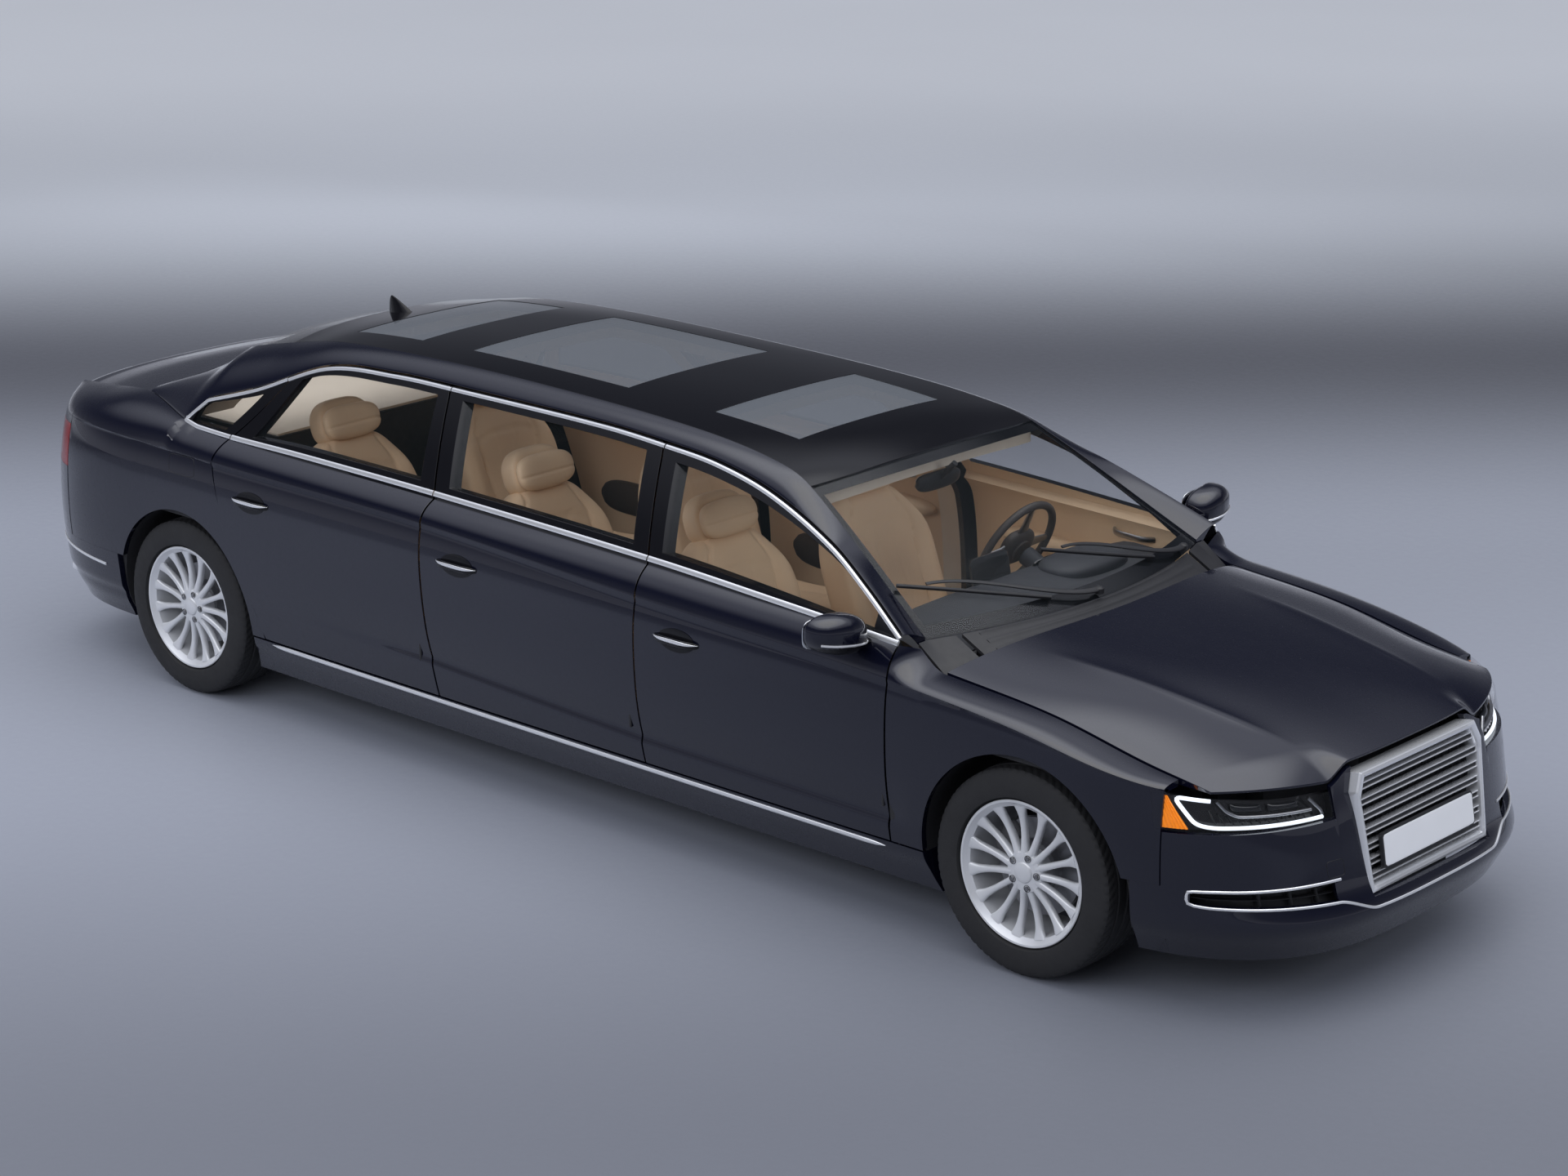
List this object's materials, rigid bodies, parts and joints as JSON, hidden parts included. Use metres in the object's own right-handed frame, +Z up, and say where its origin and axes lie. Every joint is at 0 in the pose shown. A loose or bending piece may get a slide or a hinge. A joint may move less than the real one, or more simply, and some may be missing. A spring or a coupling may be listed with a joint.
{
  "type": "stretch limousine",
  "caption": "Long saloon car with three doors a side, hollow cabin with three rows of single seats, glass roof panes, opening hood and boot lid, steered front wheels.",
  "frame": {"origin": "on the ground under the middle of the bounding box", "axes": "+X to the front of the car, +Y to its left, +Z up"},
  "size_m": [6.3592, 2.2848, 1.4958],
  "materials": {
    "paint": "gloss metallic near-black navy",
    "roof_black": "gloss black",
    "underbody": "satin dark grey",
    "trim_black": "matte black",
    "glass": "clear, faintly tinted",
    "chrome": "bright",
    "lamp_clear": "clear cover over dark reflector",
    "lamp_red": "gloss red",
    "dash": "dark grey grain",
    "leather": "tan leather",
    "cast_metal": "dark cast",
    "steel": "satin",
    "wheel_alloy": "silver",
    "tyre": "black rubber"
  },
  "bodies": {
    "body": {"floor_pan": "underbody", "tunnel": "underbody", "firewall": "underbody", "front_frame": "underbody", "boot_floor": "underbody", "bulkhead": "underbody", "parcel_shelf": "underbody", "sills": "paint", "side_frame_right": "roof_black", "side_frame_left": "roof_black", "roof_panel": "roof_black", "roof_glass": "glass", "windshield": "glass", "rear_window": "glass", "fender_right": "paint", "fender_left": "paint", "quarter_right": "paint", "quarter_left": "paint", "quarter_glass": "glass", "front_bumper": "paint", "grille": "chrome", "headlamps": "lamp_clear", "rear_bumper": "paint", "tail_lamps": "lamp_red", "cowl": "trim_black", "dashboard": "dash", "centre_console": "dash", "front_seats": "leather", "middle_seats": "leather", "rear_seats": "leather", "engine": "cast_metal", "front_axle": "cast_metal", "rear_axle": "cast_metal", "exhaust": "steel", "hinges": "steel"},
    "steering_wheel": {"steering_wheel": "dash"},
    "knuckle_right": {"knuckle_right": "cast_metal"},
    "knuckle_left": {"knuckle_left": "cast_metal"},
    "wheel_front_right": {"wheel_front_right": "wheel_alloy", "tyre_front_right": "tyre"},
    "wheel_front_left": {"wheel_front_left": "wheel_alloy", "tyre_front_left": "tyre"},
    "wheel_rear_right": {"wheel_rear_right": "wheel_alloy", "tyre_rear_right": "tyre"},
    "wheel_rear_left": {"wheel_rear_left": "wheel_alloy", "tyre_rear_left": "tyre"},
    "door_front_right": {"door_front_right": "paint", "glass_front_right": "glass"},
    "door_front_left": {"door_front_left": "paint", "glass_front_left": "glass"},
    "door_middle_right": {"door_middle_right": "paint", "glass_middle_right": "glass"},
    "door_middle_left": {"door_middle_left": "paint", "glass_middle_left": "glass"},
    "door_rear_right": {"door_rear_right": "paint", "glass_rear_right": "glass"},
    "door_rear_left": {"door_rear_left": "paint", "glass_rear_left": "glass"},
    "hood": {"hood": "paint"},
    "boot_lid": {"boot_lid": "paint"}
  },
  "joints": [
    {"name": "door_front_right_swing", "type": "hinge", "parent": "body", "child": "door_front_right", "pos_m": [1.62202, -0.94971, 0.59], "axis": [0, 0, 1], "range_deg": [0, 65]},
    {"name": "door_front_left_swing", "type": "hinge", "parent": "body", "child": "door_front_left", "pos_m": [1.62202, 0.94971, 0.59], "axis": [0, 0, -1], "range_deg": [0, 65]},
    {"name": "door_middle_right_swing", "type": "hinge", "parent": "body", "child": "door_middle_right", "pos_m": [0.45888, -0.95525, 0.59], "axis": [0, 0, 1], "range_deg": [0, 65]},
    {"name": "door_middle_left_swing", "type": "hinge", "parent": "body", "child": "door_middle_left", "pos_m": [0.45888, 0.95525, 0.59], "axis": [0, 0, -1], "range_deg": [0, 65]},
    {"name": "door_rear_right_swing", "type": "hinge", "parent": "body", "child": "door_rear_right", "pos_m": [-0.63179, -0.95481, 0.59], "axis": [0, 0, 1], "range_deg": [0, 65]},
    {"name": "door_rear_left_swing", "type": "hinge", "parent": "body", "child": "door_rear_left", "pos_m": [-0.63179, 0.95481, 0.59], "axis": [0, 0, -1], "range_deg": [0, 65]},
    {"name": "hood_lift", "type": "hinge", "parent": "body", "child": "hood", "pos_m": [1.69837, 0, 0.88504], "axis": [0, -1, 0], "range_deg": [0, 50]},
    {"name": "boot_lift", "type": "hinge", "parent": "body", "child": "boot_lid", "pos_m": [-2.50035, 0, 1.09434], "axis": [0, 1, 0], "range_deg": [0, 75]},
    {"name": "steer_left", "type": "hinge", "parent": "body", "child": "knuckle_left", "pos_m": [2.19, 0.78, 0.356], "axis": [0, 0, 1], "range_deg": [-35, 35]},
    {"name": "steer_right", "type": "hinge", "parent": "body", "child": "knuckle_right", "pos_m": [2.19, -0.78, 0.356], "axis": [0, 0, 1], "range_deg": [-35, 35]},
    {"name": "steering_wheel_turn", "type": "hinge", "parent": "body", "child": "steering_wheel", "pos_m": [1.12023, 0.37, 0.94932], "axis": [-0.9063, 0, 0.4226], "range_deg": [-450, 450]},
    {"name": "wheel_front_right_spin", "type": "hinge", "parent": "knuckle_right", "child": "wheel_front_right", "pos_m": [2.19, -0.82, 0.356], "axis": [0, 1, 0], "continuous": true},
    {"name": "wheel_front_left_spin", "type": "hinge", "parent": "knuckle_left", "child": "wheel_front_left", "pos_m": [2.19, 0.82, 0.356], "axis": [0, 1, 0], "continuous": true},
    {"name": "wheel_rear_right_spin", "type": "hinge", "parent": "body", "child": "wheel_rear_right", "pos_m": [-2.03, -0.82, 0.356], "axis": [0, 1, 0], "continuous": true},
    {"name": "wheel_rear_left_spin", "type": "hinge", "parent": "body", "child": "wheel_rear_left", "pos_m": [-2.03, 0.82, 0.356], "axis": [0, 1, 0], "continuous": true}
  ],
  "couplings": [
    {"joint": "steer_right", "follows": "steer_left", "ratio": 1},
    {"joint": "steering_wheel_turn", "follows": "steer_left", "ratio": 12.857}
  ]
}
